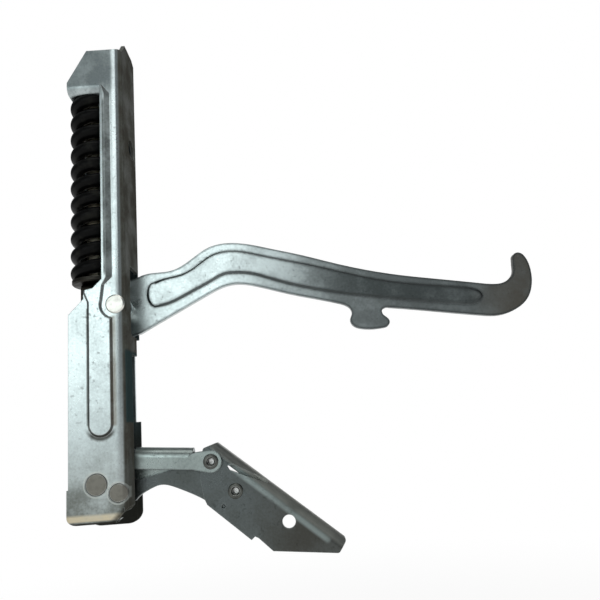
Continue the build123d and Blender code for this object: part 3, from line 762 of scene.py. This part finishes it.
@dataclass(frozen=True)
class Paper(Finish):
    """Matt white floor.

    Args:
        tone: colour of the paper.
        gloss: its roughness.
        middle: x of the object's middle, in metres.
        near: distance from it, in metres, within which the object's shadow is kept.
        far: distance from which the paper is plain white background.
        white: share of plain white near the object, 0 to 1.
    """

    tone: Colour = (0.93, 0.92, 0.90, 1.0)
    gloss: float = 0.9
    middle: float = 0.06
    near: float = 0.12
    far: float = 0.60
    white: float = 0.90

    def shade(self, nodes: Nodes) -> bpy.types.Node:
        """Background white where it is seen or mirrored, with a faint shadow near the object.

        Args:
            nodes: the material's node builder.

        Returns:
            The material's last shader.
        """
        path = nodes.node("ShaderNodeLightPath")
        camera, glossy, through = (Value(nodes, path.outputs[name]) for name in (
            "Is Camera Ray", "Is Glossy Ray", "Is Transmission Ray"))
        paper = nodes.node("ShaderNodeBsdfPrincipled", {},
                           {"Base Color": self.tone, "Roughness": self.gloss})
        white = nodes.node("ShaderNodeEmission", {}, {"Color": grey(1.0), "Strength": 1.0})
        away = distance(nodes.along(Axis.X) - self.middle, nodes.along(Axis.Y))
        away = nodes.step(away, self.near, self.far)
        share = (camera + glossy + through).limited() * (self.white + away * (1.0 - self.white))
        return nodes.mix_shaders(share, paper, white)


def dress(finish: Finish, *names: str) -> None:
    """Give CAD nodes a finish in all their material slots.

    Args:
        finish: the finish that they wear.
        names: names of the CAD nodes.
    """
    material = finish.material()
    for name in names:
        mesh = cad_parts[name].data
        if not mesh.materials:
            mesh.materials.append(material)
        for index in range(len(mesh.materials)):
            mesh.materials[index] = material
        log.info("dressed %s with %s", name, finish.name)


@dataclass
class DoorChannel:
    """The folded channel that is screwed inside the door.

    Args:
        web: colour of the browned web, darkened further as painted shade.
        head: colour of the dull head, darkened further as painted shade.
        foot: colour that makes the foot darker and duller, from the bottom up.
        bend_highlight: painted highlight on the line where the foot is bent.
        painted_shade: painted shade in corners, under bends, along the rib and under its foot.
        inside: painted shade, dark teal, on the back flange's inner face.
        slot: painted shade, dark teal, on the web beside its low slot.
        slope: painted shade on the rib's slopes.
        rust: colour of the stain along the rib's right edge.
        pin_highlight: painted highlights, bright rings round the flush pins.
        rib_left: place of the rib's left edge.
        rib_right: place of the rib's right edge.
        rib_end: centre of the rib's round lower end.
        bend_from: place from which the front flange curves to its bend.
    """

    web: Colour = (0.125, 0.120, 0.100, 1.0)
    head: Colour = (0.17, 0.20, 0.205, 1.0)
    foot: Colour = (0.17, 0.178, 0.155, 1.0)
    bend_highlight: Colour = (0.90, 0.80, 0.58, 1.0)
    painted_shade: Colour = (0.050, 0.048, 0.040, 1.0)
    inside: Colour = (0.055, 0.080, 0.082, 1.0)
    slot: Colour = (0.062, 0.105, 0.108, 1.0)
    slope: Colour = (0.055, 0.058, 0.055, 1.0)
    rust: Colour = (0.17, 0.14, 0.10, 1.0)
    pin_highlight: Colour = (0.62, 0.66, 0.62, 1.0)
    rib_left: float = 7.9
    rib_right: float = 17.9
    rib_end: Pair = (12.8, 35.9)
    bend_from: float = 17.9

    def sheet_marks(self) -> Tuple[Mark, ...]:
        """Marks of the head, the foot, the web and the back flange's inner face: mostly painted
        shade, and a painted highlight on the foot's bend.

        Returns:
            The marks, from the first to the last laid over.
        """
        inner_face = (20.6, 21.4, 22.2, 22.6)
        return (
            # Painted shade: the head darker, over its duller plating.
            Patch(self.head, 0.85, 0.6, x=(*LOW, 17.6, 19.4), z=(166.0, 176.0, *HIGH)),
            # The foot darker and duller from the bottom up.
            Patch(self.foot, 0.90, 0.65, 0.6, z=(*LOW, 4.0, 34.0)),
            # Painted highlight along the foot's bend.
            Patch(self.bend_highlight, 0.90, 0.50, y=FRONT, z=(1.1, 1.8, 3.0, 4.4)),
            # Painted shade under the foot's bend.
            Patch(self.painted_shade, 0.95, 0.15, 0.6, z=(*LOW, 0.6, 1.2)),
            # Painted shade in the open corner at the chamfer.
            SoftMark(self.painted_shade, 0.95, 0.6, 0.6, start=(17.2, 0.0), end=(22.6, 5.4),
                   reach=(0.6, 2.4)),
            # Browned web, darkened further as painted shade.
            Patch(self.web, 1.00, 0.15, 1.0, x=(20.7, 21.6, *HIGH)),
            # Painted shade, dark teal, on the web beside its low slot.
            Patch(self.slot, 0.95, 0.15, 0.8, x=(21.8, 22.3, *HIGH), z=(35.5, 36.5, 62.8, 64.4)),
            # Painted shade, dark teal, on the back flange's inner face.
            Patch(self.inside, 0.95, 0.15, 0.5, y=inner_face),
            # Painted shade, deeper low down on that inner face.
            Patch(self.painted_shade, 0.90, 0.15, 0.8, y=inner_face, z=(*LOW, 24.0, 38.0)),
        )

    def rib_marks(self) -> Tuple[Mark, ...]:
        """Painted shade on the pressed rib's slopes, its left edge and under its foot, and a
        stain on its right.

        Returns:
            The marks, from the first to the last laid over.
        """
        foot = self.rib_end[1]
        left, right = self.rib_left, self.rib_right
        return (
            # Painted shade on the rib's slopes.
            Patch(self.slope, 0.85, 0.30, 0.6, y=(-0.79, -0.66, -0.10, -0.01)),
            # Painted shade beside the notch, where the rib's slope ends.
            Patch(self.slope, 0.80, 0.30, 0.6, x=(14.5, 14.8, 15.4, 15.6), y=FRONT,
                  z=(92.0, 95.0, 167.0, 170.0)),
            # Painted shade along the rib's left edge.
            SoftMark(self.painted_shade, 0.75, start=(left, foot), end=(left, 80.0), reach=(0.15, 0.55)),
            SoftMark(self.rust, 0.70, start=(right, foot), end=(right, 76.0), reach=(0.25, 1.7)),
            # Painted shadow under the rib's round foot.
            SoftMark(self.painted_shade, 0.9, start=self.rib_end, reach=(0.4, 1.6), ring=5.1,
                   below=foot - 1.8),
        )

    def pin_marks(self) -> Tuple[Mark, ...]:
        """Painted highlights on the rings pressed round the two flush pins."""
        return tuple(SoftMark(self.pin_highlight, 0.75, start=centre, reach=(0.12, 0.45), ring=radius)
                     for centre, radius in ((LINK_PIN, 4.5), (PLATE_PIN, 3.9)))

    def dress(self) -> None:
        """Plate the channel."""
        marks = self.sheet_marks() + self.rib_marks() + self.pin_marks()
        dress(ZincSheet("plated_channel", marks=marks, bend_from=self.bend_from), "door_channel")


@dataclass
class SpringPack:
    """Coil spring with the rod, seat, washer and yoke that it works on.

    Args:
        wire: finish of the spring.
        steel: finish of the rod and its end washer.
        dark_steel: finish of the seat and the yoke.
    """

    wire: SpringWire = field(default_factory=lambda: SpringWire("black_wire"))
    steel: PlainSteel = field(default_factory=lambda: PlainSteel("browned_steel"))
    dark_steel: PlainSteel = field(default_factory=lambda: PlainSteel(
        "blackened_steel", tone=(0.035, 0.033, 0.028, 1.0), dull=(0.02, 0.017, 0.012, 1.0)))

    def dress(self) -> None:
        """Blacken the wire and brown the inner steel."""
        dress(self.wire, "compression_spring")
        dress(self.steel, "guide_rod", "rod_end_washer")
        dress(self.dark_steel, "spring_seat", "rod_yoke")


@dataclass
class HookArm:
    """Hook arm with its lever, pin, bush, washer and rivet.

    Args:
        outer_half: painted shade on the arm's outer half.
        bead_floor: painted shade on the bead's raised face there.
        bead_slope: painted shade on the bead's slopes.
        hook: colour of the browned hook.
        edge: painted shade along the arm's edges.
        head: colour of the pivot rivet's bright head.
    """

    outer_half: Colour = (0.13, 0.145, 0.145, 1.0)
    bead_floor: Colour = (0.055, 0.066, 0.066, 1.0)
    bead_slope: Colour = (0.08, 0.09, 0.09, 1.0)
    hook: Colour = (0.13, 0.12, 0.10, 1.0)
    edge: Colour = (0.07, 0.08, 0.08, 1.0)
    head: Colour = (0.80, 0.80, 0.74, 1.0)

    def sheet(self) -> ZincSheet:
        """Plating with painted shade towards the hook, along its edges and on its bead, and a
        browned hook.

        Returns:
            The finish.
        """
        marks = (
            # Painted shade: the arm darker on its outer half.
            Patch(self.outer_half, 0.90, 0.25, x=(50.0, 118.0, *HIGH)),
            # Painted shade on the bead's raised face.
            Patch(self.bead_floor, 0.75, 0.40, x=(78.0, 122.0, 160.0, 168.0),
                  y=(*LOW, 17.7, 18.2)),
            Patch(self.hook, 0.85, 0.20, x=(158.0, 178.0, *HIGH)),
            # Painted shade on the bead's slopes.
            Patch(self.bead_slope, 0.85, 0.15, y=(17.52, 17.62, 18.42, 18.58)),
        )
        # Painted shade: a dark edge tone laid wide along the arm's edges.
        return ZincSheet("plated_arm", grain=LEVEL_GRAIN, edge_tone=self.edge, edge_share=0.85,
                         edge_reach=1.7, marks=marks)

    def dress(self) -> None:
        """Plate the arm and finish what it turns on."""
        dress(self.sheet(), "hook_arm", "inner_lever")
        dress(TurnedSteel("turned_arm_rivet", tone=self.head, patchy=0.2, rings=0.2,
                          centre=ARM_PIVOT), "arm_pivot_rivet")
        dress(TurnedSteel("turned_arm_pivot", centre=ARM_PIVOT),
              "pivot_bush", "pivot_washer", "cross_pin")


@dataclass
class LowerLinkage:
    """Folding link, plate and bracket with their pins and hollow rivets.

    Args:
        link: colours of the link's clean and stained plating.
        link_edge: painted shade along the link's edges.
        dark: colours of the plate's and bracket's clean and stained plating, darkened as painted
            shade.
        dark_edge: painted highlight along their edges.
        browned: painted shade, dark and brownish, on the bracket's lower end.
        fold: painted highlight on the bracket's folded edge.
        fold_line: painted highlight, a light line along the fold.
        pin: colours of the flush pins and their dull patches.
        rivet: colours of the hollow rivets and their dull patches, darkened as painted shade of
            the sunken heads.
        rivet_core: radius of the painted highlight in the rivets' dimples, in millimetres.
    """

    link: Tuple[Colour, Colour] = ((0.36, 0.42, 0.405, 1.0), (0.20, 0.23, 0.22, 1.0))
    link_edge: Colour = (0.10, 0.11, 0.11, 1.0)
    dark: Tuple[Colour, Colour] = ((0.12, 0.138, 0.138, 1.0), (0.075, 0.083, 0.076, 1.0))
    dark_edge: Colour = (0.45, 0.50, 0.49, 1.0)
    browned: Colour = (0.075, 0.072, 0.062, 1.0)
    fold: Colour = (0.34, 0.35, 0.32, 1.0)
    fold_line: Colour = (0.34, 0.40, 0.39, 1.0)
    pin: Tuple[Colour, Colour] = ((0.20, 0.195, 0.17, 1.0), (0.13, 0.125, 0.105, 1.0))
    rivet: Tuple[Colour, Colour] = ((0.11, 0.115, 0.105, 1.0), (0.05, 0.05, 0.045, 1.0))
    rivet_core: float = 1.2

    def link_sheet(self) -> ZincSheet:
        """Grey plating of the link, with painted shade along its edges."""
        # Painted shade along the link's edges.
        return ZincSheet("plated_link", *self.link, grain=LEVEL_GRAIN, edge_tone=self.link_edge,
                         edge_share=0.8, edge_reach=0.8)

    def dark_sheet(self) -> ZincSheet:
        """Dark plating of plate and bracket as painted shade, with painted highlights along the
        fold.

        Returns:
            The finish.
        """
        through = 30.0
        marks = (
            # Painted shade: the bracket's lower end darker and brownish.
            Patch(self.browned, 0.80, 0.35, 0.4, x=(58.0, 86.0, *HIGH)),
            # Painted highlight along the bracket's folded edge.
            SoftMark(self.fold, 0.85, start=(54.6, 25.5), end=(100.5, -12.5), reach=(2.2, 3.9),
                   deep=through),
            # Painted highlight: a light line along the fold.
            SoftMark(self.fold_line, 0.80, 0.6, start=(59.0, 16.6), end=(94.0, -12.6),
                   reach=(0.3, 1.7), deep=through),
        )
        # Painted shade in the dark plating, and a painted highlight along its edges.
        return ZincSheet("plated_dark", *self.dark, grain=LEVEL_GRAIN, edge_tone=self.dark_edge,
                         edge_share=0.35, marks=marks)

    def flush_pin(self, name: str, centre: Pair) -> TurnedSteel:
        """Grey finish of a flush pin about its centre."""
        return TurnedSteel(name, *self.pin, patchy=0.4, centre=centre)

    def hollow_rivet(self, name: str, centre: Pair) -> TurnedSteel:
        """Finish of a hollow rivet about its centre: dark as painted shade, with a painted
        highlight in its dimple.
        """
        # Dark rivet colours as painted shade, and a painted highlight in the dimple.
        return TurnedSteel(name, *self.rivet, centre=centre, core=self.rivet_core)

    def dress(self) -> None:
        """Plate the sheet pieces and finish the pins and rivets."""
        dress(self.link_sheet(), "folded_link")
        dress(self.dark_sheet(), "hinge_plate", "folded_bracket")
        dress(self.flush_pin("turned_link_pin", LINK_PIN),
              "link_pivot_pin", "link_bush_front", "link_bush_rear")
        dress(self.flush_pin("turned_plate_pin", PLATE_PIN), "plate_pivot_pin")
        dress(self.hollow_rivet("turned_upper_rivet", UPPER_RIVET),
              "bracket_rivet_upper", "link_spacer")
        dress(self.hollow_rivet("turned_lower_rivet", LOWER_RIVET), "bracket_rivet_lower")


@dataclass(frozen=True)
class Lamp:
    """Rectangular area lamp aimed at a point.

    Args:
        name: the lamp's name.
        place: where it hangs, in channel millimetres.
        target: the point that it lights, in channel millimetres.
        size: width and height in metres.
        power: power in watts.
        tint: its colour.
    """

    name: str
    place: Triple
    target: Triple
    size: Pair
    power: float
    tint: Triple

    def hang(self) -> None:
        """Add the lamp to the scene."""
        data = bpy.data.lights.new(self.name, "AREA")
        data.shape = "RECTANGLE"
        data.size, data.size_y = self.size
        data.energy = self.power
        data.color = self.tint
        lamp = bpy.data.objects.new(self.name, data)
        lamp.location = at(*self.place)
        aim = at(*self.target) - at(*self.place)
        lamp.rotation_euler = aim.to_track_quat("-Z", "Y").to_euler()
        bpy.context.scene.collection.objects.link(lamp)


@dataclass
class Studio:
    """Floor, world, lamps and camera.

    Args:
        floor_drop: depth of the floor below the origin, in metres.
        floor_size: side of the floor, in metres.
        room: colour of the room's soft light.
        room_light: strength of that light.
        backdrop: how far a mirrored direction points to the back where white begins and is full.
        lamps: the lamps.
        eye: the camera's place, in channel millimetres.
        tilt: camera angle about its own horizontal axis, in radians.
        yaw: camera angle about the upright axis, in radians.
        roll: camera angle about its line of sight, in radians.
        focal: focal length in pixels.
        frame_width: width of the frame in pixels.
        sensor: width of the camera's sensor in millimetres.
        clip: nearest and farthest distance that the camera sees, in metres.
    """

    floor_drop: float = 0.262
    floor_size: float = 6.0
    room: Colour = (0.92, 0.96, 1.0, 1.0)
    room_light: float = 0.16
    backdrop: Pair = (0.55, 0.95)
    lamps: Tuple[Lamp, ...] = (
        Lamp("window_left", (-360.0, -900.0, 290.0), (40.0, 0.0, 80.0), (0.84, 0.40), 1.85,
             (0.93, 1.0, 1.0)),
        Lamp("strip_high", (110.0, -895.0, 610.0), (20.0, 0.0, 150.0), (0.44, 0.42), 0.95,
             (0.97, 1.0, 1.0)),
        Lamp("top_soft", (120.0, -120.0, 900.0), (70.0, 10.0, 60.0), (0.7, 0.5), 1.6,
             (1.0, 0.99, 0.97)),
    )
    eye: Triple = (87.81, -239.75, 27.53)
    tilt: float = -0.2054
    yaw: float = -0.0105
    roll: float = -0.0760
    focal: float = 632.56
    frame_width: float = 600.0
    sensor: float = 36.0
    clip: Pair = (0.01, 20.0)

    def build(self) -> None:
        """Set the whole studio."""
        self.floor()
        self.world()
        for lamp in self.lamps:
            lamp.hang()
        self.camera()

    def floor(self) -> None:
        """Plain pale floor."""
        bpy.ops.object.select_all(action="DESELECT")
        bpy.ops.mesh.primitive_plane_add(size=self.floor_size,
                                         location=(0.0, 0.0, -self.floor_drop))
        floor = bpy.context.object
        floor.name = "floor"
        floor.data.materials.append(Paper("paper").material())

    def world(self) -> None:
        """White where the camera sees it or it is mirrored from behind, else a soft grey room."""
        world = bpy.data.worlds.new("studio_room")
        bpy.context.scene.world = world
        world.use_nodes = True
        nodes = Nodes(world.node_tree)
        path = nodes.node("ShaderNodeLightPath")
        camera, glossy, through = (Value(nodes, path.outputs[name]) for name in (
            "Is Camera Ray", "Is Glossy Ray", "Is Transmission Ray"))
        room = nodes.node("ShaderNodeBackground", {},
                          {"Color": self.room, "Strength": self.room_light})
        white = nodes.node("ShaderNodeBackground", {}, {"Color": grey(1.0), "Strength": 1.0})
        looking = nodes.node("ShaderNodeTexCoord").outputs["Generated"]
        back = nodes.make("ShaderNodeSeparateXYZ", {}, {0: looking}, Axis.Y.name)
        seen = camera + (glossy + through) * nodes.step(back, *self.backdrop)
        mixed = nodes.mix_shaders(seen.limited(), room, white)
        nodes.node("ShaderNodeOutputWorld", {}, {"Surface": mixed.outputs[0]})

    def camera(self) -> None:
        """Camera that frames the hinge as the photograph does."""
        level = Matrix(((1, 0, 0), (0, 0, -1), (0, 1, 0)))
        look = (Matrix.Rotation(self.roll, 3, "Z") @ Matrix.Rotation(self.tilt, 3, "X")
                @ Matrix.Rotation(self.yaw, 3, "Y") @ level)
        turned = Matrix((look[0], -look[1], -look[2])).transposed()
        data = bpy.data.cameras.new("camera")
        data.sensor_fit = "HORIZONTAL"
        data.sensor_width = self.sensor
        data.lens = self.focal * self.sensor / self.frame_width
        data.clip_start, data.clip_end = self.clip
        camera = bpy.data.objects.new("camera", data)
        camera.matrix_world = Matrix.Translation(at(*self.eye)) @ turned.to_4x4()
        bpy.context.scene.collection.objects.link(camera)
        bpy.context.scene.camera = camera


def main() -> None:
    """Dress the hinge piece by piece and set the studio."""
    logging.basicConfig(level=logging.INFO, format="%(name)s: %(message)s")
    bpy.context.scene.view_settings.view_transform = "Standard"
    for part in (DoorChannel(), SpringPack(), HookArm(), LowerLinkage()):
        part.dress()
    Studio().build()


if __name__ == "__main__":
    main()
